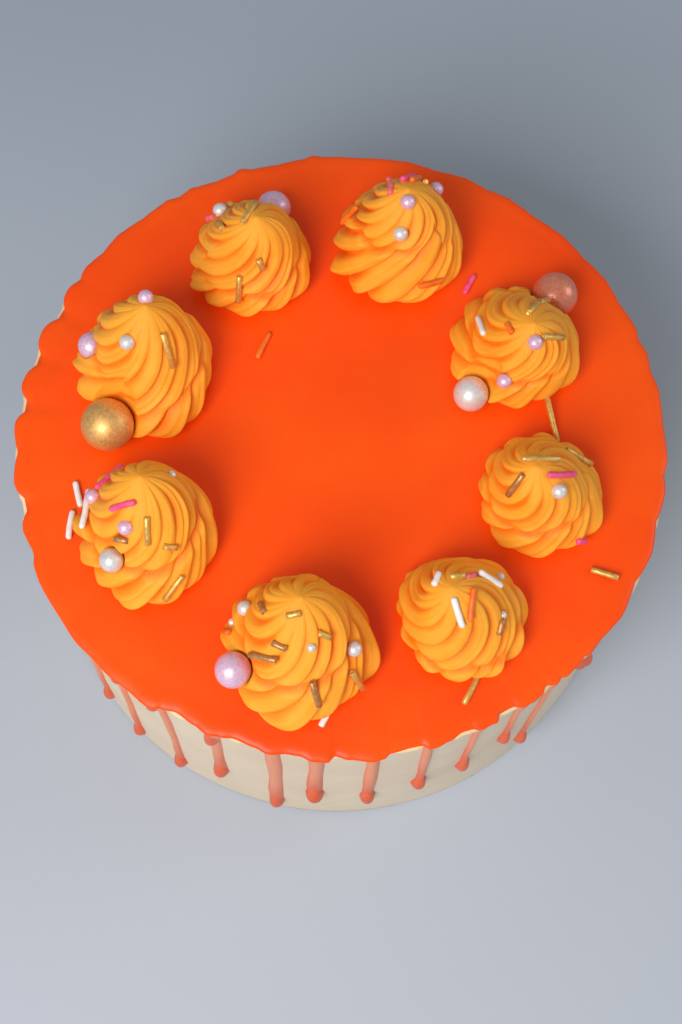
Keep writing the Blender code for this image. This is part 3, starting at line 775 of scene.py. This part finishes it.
def swirl_surface(number, swirl, degrees, rise):
    """(points, painted shade from 0 to 1: how deep in a crease) of a swirl at arrays of ridge bearings and
    rises.
    """
    draw = np.random.default_rng(number)
    tier = TIERS[number - 1]
    radius_share, height_share, depth = smooth_levels(rise)
    bearing = degrees - swirl_turn(rise)
    around = ((bearing - swirl.seam) % 360.0) / 360.0
    shut = np.clip(4.0 * np.minimum(around, 1.0 - around), 0.0, 1.0) ** 0.7
    wander = TIER_WANDER * waves(draw, bearing, np.zeros_like(rise), 3, 7)
    boundary = tier.rise + tier.climb * (around - 0.5) + wander
    below = shut / (1.0 + np.exp(np.clip((rise - boundary) / TIER_SOFTNESS, -30.0, 30.0)))
    coil = np.clip((1.0 - rise) / np.maximum(1.0 - boundary, 0.2), 0.0, 1.0)
    along = degrees + tier.jump * below + UPPER_CURL * (coil**2 - coil) * (1.0 - below)
    along = along + RIDGE_WANDER * waves(draw, bearing, rise, 3, 2) * (1.0 - 0.6 * rise)
    crest, swell, reach = ridge_crests(swirl, along, rise, draw)
    strength = 1.0 + RIDGE_STRENGTH * waves(draw, bearing, rise, 4, 3)
    groove = np.exp(-(((rise - boundary) / GROOVE_WIDTH) ** 2)) * shut
    seam_back = SEAM_RETURN * (around / SEAM_WIDTH - 0.5)
    seam = np.where(around > SEAM_WIDTH, 0.5 - around, seam_back) * SEAM_SHARE
    angle = np.radians(3 * bearing + 40 * swirl.ridges + swirl.bearing)
    uneven = FOOT_UNEVEN * np.sin(angle) + FOOT_WAVES * waves(draw, bearing, rise, 4, 5)
    unevenly = TIP_SOFTENING + TIP_UNEVENNESS * np.sin(np.radians(bearing - swirl.seam))
    soft = 1.0 - smooth_step(TIP_SOFTENS_FROM, 1.0, rise) * unevenly
    skirt = np.clip(1.0 - rise / SKIRT_RISE, 0.0, 1.0)
    shelf = np.exp(-np.clip(boundary - rise, 0.0, 1.0) / SHELF_REACH) * below
    scale = 1.0 + depth * CREASE_DEEPENING * soft * strength * (crest * swell - CREST_LEVEL)
    scale = scale + (seam + uneven) * (1.0 - rise)
    scale = scale + skirt * (SKIRT_POINTS * crest**2.2 * reach - SKIRT_TUCK * (1.0 - crest))
    scale = scale - tier.depth * groove + SHELF_SHARE * tier.depth * shelf * crest
    radius = 0.5 * swirl.width * radius_share
    points = swirl_axis(swirl, height_share) + polar_points(radius * scale, bearing, 0.0)
    # Painted shade: the creases and the step between the turns get a deeper colour, fading out towards the
    # tip
    tip = np.clip((1.0 - rise) / TIP_FADE, 0.0, 1.0)
    crease_shade = (np.clip(1.0 - crest, 0.0, 1.0) * strength + 0.8 * groove) * tip
    return points, np.clip(crease_shade, 0.0, 1.0)


def large_pearls():
    """(node, middle, radius, whether it lies on the glaze) of each large pearl, from the frame."""
    found = []
    for node in PEARL_NODES:
        low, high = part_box(node)
        radius = 0.5 * (high.z - low.z)
        found.append((node, 0.5 * (low + high), radius, low.z < TOP_HEIGHT + 2 * GAP))
    return found


def press_pearls(points, swirl):
    """Moves the cream in towards the swirl's middle where a large pearl was pressed in."""
    foot = polar(swirl.out, swirl.bearing, 0.0)
    for _, middle, radius, on_glaze in large_pearls():
        room = radius + GAP
        towards = Vector((foot.x - middle.x, foot.y - middle.y, 0.0))
        if towards.length > DENT_REACH * swirl.width + radius:
            continue
        offset = points - np.array(middle)
        room = room + DENT_FLARE * np.clip(offset[..., 2], 0.0, 2.0 * radius)
        if on_glaze:
            offset[..., 2] = np.minimum(offset[..., 2], 0.0)
        inward = np.array([foot.x, foot.y, 0.0]) - points
        inward[..., 2] = 0.0
        inward = inward / np.maximum(np.linalg.norm(inward, axis=-1, keepdims=True), 1e-6)
        along = np.sum(offset * inward, axis=-1)
        apart = np.sum(offset * offset, axis=-1)
        inside = apart < room * room
        move = np.where(inside, -along + np.sqrt(np.maximum(along * along - apart + room * room, 0.0)), 0.0)
        points = points + inward * move[..., None]
    return points


def make_swirl(number, swirl, material):
    """One piped swirl, closed under its foot and over its tip. Gives back a search tree of its surface."""
    columns = swirl.ridges * SAMPLES_PER_RIDGE
    degrees, rise = np.meshgrid(np.arange(columns) * 360.0 / columns, np.linspace(0.0, 1.0, SWIRL_ROWS))
    points, crease_shade = swirl_surface(number, swirl, degrees, rise)
    points = press_pearls(points, swirl)
    faces = band_faces(SWIRL_ROWS, columns)
    faces.append(tuple(reversed(range(columns))))
    faces.append(tuple(range((SWIRL_ROWS - 1) * columns, SWIRL_ROWS * columns)))
    obj = make_object(f"piped_swirl_{number}", points, faces, {"crease_shade": crease_shade})
    flow = polar_points(1.0, degrees, 0.6 * rise)
    layer = obj.data.attributes.new("flow", "FLOAT_VECTOR", "POINT")
    layer.data.foreach_set("vector", flow.astype(np.float32).ravel())
    add_piece(obj, material, "orange_buttercream", f"swirl_{number}")
    return BVHTree.FromPolygons([Vector(p) for p in points.reshape(-1, 3)], faces)


def surface_frame(swirl, around, rise):
    """A plain swirl's point at a bearing about its foot and a rise, and the directions round, up and out."""

    def plain(bearing, level):
        radius_share, height_share, _ = smooth_levels(np.array([level]))
        middle = swirl_axis(swirl, height_share)[0]
        return Vector(middle) + polar(0.5 * swirl.width * float(radius_share[0]), bearing, 0.0)

    point = plain(around, rise)
    across = plain(around + STEP_ROUND, rise) - plain(around - STEP_ROUND, rise)
    climb = plain(around, min(rise + STEP_UP, 1.0)) - plain(around, max(rise - STEP_UP, 0.0))
    outward = across.cross(climb).normalized()
    round_it = across.normalized()
    return point, round_it, outward.cross(round_it), outward


def add_rod(shape, middle, direction, length, colour, draw):
    """A thin sugar rod: slightly bent, with rounded ends, or dished ones where it is coated in foil."""
    metal = colour in METALS
    profile = FOIL_ENDS if metal else SUGAR_ENDS
    bend = draw.uniform(0.0, ROD_BEND) * length * (FOIL_BEND_SHARE if metal else 1.0)
    place = Matrix.Translation(middle) @ direction.to_track_quat("Z", "Y").to_matrix().to_4x4()
    rings = []
    for along, share in profile:
        sideways = bend * (0.5 - 2.0 * along * along)
        if share == 0.0:
            rings.append([shape.verts.new(place @ Vector((sideways, 0.0, along * length)))] * ROD_SIDES)
            continue
        ring = []
        for i in range(ROD_SIDES):
            spoke = polar(ROD_RADIUS * share, 360.0 * i / ROD_SIDES, along * length)
            ring.append(shape.verts.new(place @ (spoke + Vector((sideways, 0.0, 0.0)))))
        rings.append(ring)
    for low, high in zip(rings, rings[1:]):
        for i in range(ROD_SIDES):
            j = (i + 1) % ROD_SIDES
            corners = dict.fromkeys((low[i], low[j], high[j], high[i]))
            shape.faces.new(tuple(corners))


def add_ball(shape, middle, radius, detail, lump, draw):
    """A sugar pearl: a fine sphere, very slightly out of round."""
    made = bmesh.ops.create_icosphere(shape, subdivisions=detail, radius=radius)
    turn = Vector((draw.uniform(-1, 1), draw.uniform(-1, 1), draw.uniform(-1, 1)))
    for vertex in made["verts"]:
        unit = vertex.co / radius
        bulge = math.sin(2.4 * unit.dot(turn) + 4.0 * turn.x) + 0.5 * math.sin(4.1 * unit.cross(turn).x)
        vertex.co = middle + vertex.co * (1.0 + lump * bulge)


def snap(tree, point, outward):
    """The point of a swirl's surface that a topping dropped onto it would touch."""
    hit = tree.ray_cast(point + outward * DROP_START, -outward, DROP_REACH)[0]
    return hit if hit is not None else tree.find_nearest(point)[0]


def ridge_lift(tree, middle, reach, outward):
    """How far a rod lifts to lie on the ridges under it. Reach runs from its middle to one end."""
    lifts = [0.0]
    for share in LIFT_SHARES:
        place = middle + reach * share
        hit = tree.ray_cast(place + outward * DROP_START, -outward, DROP_REACH)[0]
        if hit is not None:
            lifts.append((hit - place).dot(outward))
    return min(max(lifts), MOST_LIFT)


def ball_place(tree, swirl, around, rise, radius):
    """The middle of a small pearl that is sunk a little into a swirl."""
    point, _, _, outward = surface_frame(swirl, around, rise)
    return snap(tree, point, outward) + outward * radius * (1.0 - 2.0 * SUNK_SHARE)


def rod_place(tree, swirl, around, rise, turn, length):
    """(middle, direction) of a rod: beside the swirl's foot where it is low, else over the ridges."""
    point, round_it, up_it, outward = surface_frame(swirl, around, rise)
    point = snap(tree, point, outward)
    angle = math.radians(turn)
    if rise < FOOT_RISE:
        outward = polar(1.0, around, 0.0)
        direction = outward * math.sin(angle) + polar(1.0, around + 90, 0.0) * math.cos(angle)
        middle = point + outward * (FOOT_REACH * length * math.sin(angle) - FOOT_SUNK)
        middle.z = TOP_HEIGHT + ROD_RADIUS
        return middle, direction
    direction = round_it * math.cos(angle) + up_it * math.sin(angle)
    lift = ridge_lift(tree, point, 0.5 * length * direction, outward)
    return point + outward * (lift + ROD_RADIUS * (1.0 - 2.0 * SUNK_SHARE)), direction


def make_toppings(trees):
    """Every small pearl and rod, one piece for each kind and colour."""
    draw = random.Random(TOPPING_SEED)
    shapes = {}
    homes = {}

    def shape_for(colour, kind, node):
        label = f"{colour}_{'pearls' if kind in BEAD_RADII else 'rods'}"
        homes.setdefault(label, set()).add(node)
        return shapes.setdefault(label, bmesh.new())

    for number, swirl in enumerate(SWIRLS, 1):
        tree = trees[number]
        for colour, kind, around, rise, turn in SWIRL_TOPPINGS[number]:
            shape = shape_for(colour, kind, f"swirl_{number}")
            if kind in BEAD_RADII:
                radius = BEAD_RADII[kind]
                middle = ball_place(tree, swirl, around, rise, radius)
                add_ball(shape, middle, radius, 3, SMALL_PEARL_LUMP, draw)
            else:
                length = ROD_LENGTHS[kind] * draw.uniform(*ROD_SPREAD)
                middle, direction = rod_place(tree, swirl, around, rise, turn, length)
                add_rod(shape, middle, direction, length, colour, draw)
    for colour, bearing, out, heading, length in GLAZE_RODS:
        climb = LEANING_CLIMB if length > LEANING_LENGTH else 0.0
        middle = polar(out, bearing, TOP_HEIGHT + GLAZE_ROD_HEIGHT + 0.5 * climb)
        direction = polar(length, heading, climb).normalized()
        add_rod(shape_for(colour, "rod", "glaze"), middle, direction, length, colour, draw)
    for label, shape in shapes.items():
        bmesh.ops.recalc_face_normals(shape, faces=shape.faces)
        obj = object_from_shape(label, shape)
        colour, kind = label.split("_")
        make = pearl_material if kind == "pearls" else rod_material
        add_piece(obj, make(label, colour), TOPPING_SLOTS[colour], *sorted(homes[label]))


def make_large_pearls():
    """The large pearls, each in the place of its own solid."""
    draw = random.Random(PEARL_SEED)
    for node, middle, radius, _ in large_pearls():
        shape = bmesh.new()
        lump = LUMPY_PEARL_LUMP if node == LUMPY_PEARL else PEARL_LUMP
        add_ball(shape, middle, radius * PEARL_SHRINK, 5, lump, draw)
        obj = object_from_shape(f"large_{node}", shape)
        colour = node.split("_")[1]
        add_piece(obj, pearl_material(obj.name, colour, large=True), f"{colour}_sugar", node)


def new_material(name):
    """(material, its node tree, its shader)."""
    material = bpy.data.materials.new(name)
    material.use_nodes = True
    tree = material.node_tree
    return material, tree, tree.nodes["Principled BSDF"]


def noise_node(tree, scale, detail, source=None, stretch=(1.0, 1.0, 1.0)):
    """A noise texture on the object's own coordinates, or on another node's output."""
    noise = tree.nodes.new("ShaderNodeTexNoise")
    noise.inputs["Scale"].default_value = scale
    noise.inputs["Detail"].default_value = detail
    mapping = tree.nodes.new("ShaderNodeMapping")
    mapping.inputs["Scale"].default_value = stretch
    if source is None:
        source = tree.nodes.new("ShaderNodeTexCoord").outputs["Object"]
    tree.links.new(source, mapping.inputs["Vector"])
    tree.links.new(mapping.outputs["Vector"], noise.inputs["Vector"])
    return noise.outputs["Fac"]


def value_node(tree, name):
    node = tree.nodes.new("ShaderNodeAttribute")
    node.attribute_name = name
    return node


def ramp_node(tree, source, stops):
    """A colour ramp over a value: stops are (position, colour)."""
    ramp = tree.nodes.new("ShaderNodeValToRGB")
    for (position, colour), element in zip(stops, ramp.color_ramp.elements):
        element.position = position
        element.color = (*colour, 1.0)
    for position, colour in stops[2:]:
        element = ramp.color_ramp.elements.new(position)
        element.color = (*colour, 1.0)
    tree.links.new(source, ramp.inputs["Fac"])
    return ramp.outputs["Color"]


def mix_node(tree, share, first, second, mode="MIX"):
    """Mixes two colours, each an output or a plain colour, by a share that is an output or a number."""
    mix = tree.nodes.new("ShaderNodeMix")
    mix.data_type = "RGBA"
    mix.blend_type = mode
    sockets = (("Factor", share), ("A", first), ("B", second))
    for name, value in sockets:
        socket = next(s for s in mix.inputs if s.name == name and s.enabled)
        if isinstance(value, bpy.types.NodeSocket):
            tree.links.new(value, socket)
        elif isinstance(value, tuple):
            socket.default_value = (*value, 1.0)
        else:
            socket.default_value = value
    return next(s for s in mix.outputs if s.enabled)


def range_node(tree, source, low, high, new_low, new_high):
    node = tree.nodes.new("ShaderNodeMapRange")
    node.inputs["From Min"].default_value = low
    node.inputs["From Max"].default_value = high
    node.inputs["To Min"].default_value = new_low
    node.inputs["To Max"].default_value = new_high
    tree.links.new(source, node.inputs["Value"])
    return node.outputs["Result"]


def add_bump(tree, shader, height, distance, strength=1.0):
    bump = tree.nodes.new("ShaderNodeBump")
    bump.inputs["Distance"].default_value = distance
    bump.inputs["Strength"].default_value = strength
    tree.links.new(height, bump.inputs["Height"])
    tree.links.new(bump.outputs["Normal"], shader.inputs["Normal"])


def set_subsurface(shader, weight, radius, scale):
    shader.inputs["Subsurface Weight"].default_value = weight
    shader.inputs["Subsurface Radius"].default_value = radius
    shader.inputs["Subsurface Scale"].default_value = scale


def buttercream_material():
    """Ivory buttercream, smoothed with a scraper: faint level streaks, and a painted warm highlight under
    the rim.
    """
    material, tree, shader = new_material("ivory_buttercream")
    patches = noise_node(tree, 28.0, 3.0)
    streaks = noise_node(tree, 90.0, 4.0, stretch=(1.0, 1.0, 9.0))
    colour = ramp_node(tree, patches, ((0.3, (0.70, 0.565, 0.405)), (0.7, (0.77, 0.64, 0.48))))
    colour = mix_node(tree, range_node(tree, streaks, 0.35, 0.7, 0.0, 0.25), colour, (0.68, 0.54, 0.37))
    # Painted highlight: paler, warmer cream just under the glaze's rim
    rim_light = range_node(tree, value_node(tree, "painted_rim_light").outputs["Fac"], 0.1, 0.6, 0.0, 0.75)
    colour = mix_node(tree, rim_light, colour, (0.90, 0.66, 0.34))
    tree.links.new(colour, shader.inputs["Base Color"])
    tree.links.new(range_node(tree, streaks, 0.3, 0.7, 0.42, 0.60), shader.inputs["Roughness"])
    set_subsurface(shader, 0.25, (1.0, 0.6, 0.35), 0.0012)
    shader.inputs["Specular IOR Level"].default_value = 0.35
    add_bump(tree, shader, streaks, 0.00035, 0.5)
    return material


def glaze_material():
    """Orange mirror glaze: deep and even where it is thick, salmon where a thin run shows the cream, with
    painted shade at run edges.
    """
    material, tree, shader = new_material("orange_glaze")
    clouds = noise_node(tree, 22.0, 3.0)
    film_and_edge_shade = value_node(tree, "film_and_edge_shade").outputs["Fac"]
    thick = ramp_node(tree, clouds, ((0.3, (0.92, 0.066, 0.002)), (0.7, (0.95, 0.094, 0.003))))
    stages = ((0.08, (0.82, 0.27, 0.12)), (0.36, (0.77, 0.15, 0.05)), (0.90, (0.68, 0.085, 0.024)))
    run = ramp_node(tree, film_and_edge_shade, stages)
    colour = mix_node(tree, range_node(tree, film_and_edge_shade, 0.92, 1.0, 0.0, 1.0), run, thick)
    tree.links.new(colour, shader.inputs["Base Color"])
    tree.links.new(range_node(tree, clouds, 0.3, 0.7, 0.30, 0.38), shader.inputs["Roughness"])
    shader.inputs["Specular IOR Level"].default_value = 0.20
    set_subsurface(shader, 0.12, (1.0, 0.25, 0.05), 0.001)
    add_bump(tree, shader, noise_node(tree, 60.0, 1.0), 0.0004, 0.25)
    return material


def piped_material():
    """Light orange buttercream: painted shade, deeper orange, in the creases; fine streaks along the ridges.
    """
    material, tree, shader = new_material("orange_buttercream")
    crease_shade = value_node(tree, "crease_shade").outputs["Fac"]
    flow = value_node(tree, "flow").outputs["Vector"]
    patches = noise_node(tree, 120.0, 3.0)
    streaks = noise_node(tree, 60.0, 3.0, source=flow, stretch=(1.0, 1.0, 0.12))
    crest = ramp_node(tree, patches, ((0.3, (0.96, 0.355, 0.022)), (0.7, (0.98, 0.40, 0.035))))
    # Painted shade: the creases are coloured deeper orange
    shaded_crease_colour = (0.93, 0.185, 0.002)
    colour = mix_node(tree, range_node(tree, crease_shade, 0.25, 0.9, 0.0, 0.92), crest, shaded_crease_colour)
    colour = mix_node(tree, range_node(tree, streaks, 0.5, 0.75, 0.0, 0.22), colour, (0.97, 0.50, 0.10))
    tree.links.new(colour, shader.inputs["Base Color"])
    tree.links.new(range_node(tree, patches, 0.3, 0.7, 0.45, 0.60), shader.inputs["Roughness"])
    shader.inputs["Specular IOR Level"].default_value = 0.22
    set_subsurface(shader, 0.30, (1.0, 0.45, 0.12), 0.0015)
    add_bump(tree, shader, streaks, 0.0003, 0.35)
    return material


def rod_material(name, colour):
    """A sugar rod: foil-like and finely grained if it is gold or copper, else satin sugar with paler
    patches.
    """
    material, tree, shader = new_material(name)
    low, high = ROD_COLOURS[colour]
    metal = colour in METALS
    grain = noise_node(tree, 900.0 if metal else 500.0, 3.0)
    tree.links.new(ramp_node(tree, grain, ((0.3, low), (0.7, high))), shader.inputs["Base Color"])
    shader.inputs["Metallic"].default_value = 0.6 if metal else 0.0
    tree.links.new(range_node(tree, grain, 0.3, 0.7, 0.34, 0.5), shader.inputs["Roughness"])
    if not metal:
        set_subsurface(shader, 0.2, (1.0, 0.5, 0.4), 0.0004)
    add_bump(tree, shader, grain, 0.00012, 0.5)
    return material


def pearl_material(name, colour, large=False):
    """A sugar pearl with a fine shimmer under a soft clear coat, paler and cooler towards its edge."""
    material, tree, shader = new_material(name)
    low, high = PEARL_COLOURS[colour]
    shimmer = noise_node(tree, 1400.0 if large else 1800.0, 2.0)
    patches = noise_node(tree, 160.0, 2.0)
    body = ramp_node(tree, shimmer, ((0.35, low), (0.65, high)))
    body = mix_node(tree, range_node(tree, patches, 0.4, 0.7, 0.0, 0.3), body, high)
    tree.links.new(body, shader.inputs["Base Color"])
    shader.inputs["Metallic"].default_value = 0.65 if colour == "gold" else 0.35
    low_rough, high_rough = (0.44, 0.56) if colour == "gold" else (0.30, 0.42)
    tree.links.new(range_node(tree, shimmer, 0.3, 0.7, low_rough, high_rough), shader.inputs["Roughness"])
    shader.inputs["Coat Weight"].default_value = 0.25 if colour == "gold" else 0.6
    shader.inputs["Coat Roughness"].default_value = 0.18
    add_bump(tree, shader, shimmer, 0.00006, 0.4)
    return material


def make_floor():
    corners = np.array([(-1, -1, 0), (1, -1, 0), (1, 1, 0), (-1, 1, 0)]) * 0.5 * FLOOR_SIDE
    floor = make_object("floor", corners, [(0, 1, 2, 3)])
    material, tree, shader = new_material("floor_paint")
    clouds = noise_node(tree, 1.2, 2.0)
    colour = ramp_node(tree, clouds, ((0.3, (0.43, 0.465, 0.53)), (0.7, (0.46, 0.49, 0.545))))
    split = tree.nodes.new("ShaderNodeSeparateXYZ")
    tree.links.new(tree.nodes.new("ShaderNodeTexCoord").outputs["Object"], split.inputs["Vector"])
    # Painted shade: the floor darkens towards the back, standing in for the light falling off
    painted_falloff = range_node(tree, split.outputs["Y"], FLOOR_PAINTED_SHADE_FROM, FLOOR_PAINTED_SHADE_TO, 0.0, 1.0)
    colour = mix_node(tree, painted_falloff, colour, FLOOR_PAINTED_SHADE)
    tree.links.new(colour, shader.inputs["Base Color"])
    shader.inputs["Roughness"].default_value = 0.8
    shader.inputs["Specular IOR Level"].default_value = 0.1
    floor.data.materials.append(material)


def make_light(name, direction, distance, side, power):
    data = bpy.data.lights.new(name, "AREA")
    data.shape = "SQUARE"
    data.size = side
    data.energy = power
    light = bpy.data.objects.new(name, data)
    light.location = Vector(direction).normalized() * distance + Vector((0, 0, TOP_HEIGHT))
    light.rotation_euler = Vector(direction).to_track_quat("Z", "Y").to_euler()
    bpy.context.scene.collection.objects.link(light)


def make_studio():
    scene = bpy.context.scene
    scene.view_settings.view_transform = "Standard"
    world = bpy.data.worlds.new("studio")
    world.use_nodes = True
    sky = world.node_tree.nodes["Background"]
    tree = world.node_tree
    split = tree.nodes.new("ShaderNodeSeparateXYZ")
    tree.links.new(tree.nodes.new("ShaderNodeTexCoord").outputs["Generated"], split.inputs["Vector"])
    front = range_node(tree, split.outputs["Y"], -1.0, 1.0, 1.0, 0.0)
    tree.links.new(ramp_node(tree, front, ((0.1, SKY_BACK), (0.8, SKY_FRONT))), sky.inputs["Color"])
    sky.inputs["Strength"].default_value = SKY_STRENGTH
    scene.world = world
    make_light("key", KEY_DIRECTION, KEY_DISTANCE, KEY_SIDE, KEY_POWER)
    make_light("fill", FILL_DIRECTION, FILL_DISTANCE, FILL_SIDE, FILL_POWER)


def make_camera():
    """The photograph's view: from the front, steeply down, the frame turned slightly."""
    data = bpy.data.cameras.new("camera")
    data.lens = CAMERA_LENS
    data.sensor_width = SENSOR_SIDE
    camera = bpy.data.objects.new("camera", data)
    place = Matrix.Translation(CAMERA_PLACE)
    for degrees, axis in ((-CAMERA_YAW, "Z"), (90.0 - CAMERA_PITCH, "X"), (CAMERA_ROLL, "Z")):
        place = place @ Matrix.Rotation(math.radians(degrees), 4, axis)
    camera.matrix_world = place
    bpy.context.scene.collection.objects.link(camera)
    bpy.context.scene.camera = camera


make_camera()
make_studio()
make_floor()
make_cake()
make_glaze()
swirl_cream = piped_material()
make_toppings({number: make_swirl(number, swirl, swirl_cream) for number, swirl in enumerate(SWIRLS, 1)})
make_large_pearls()
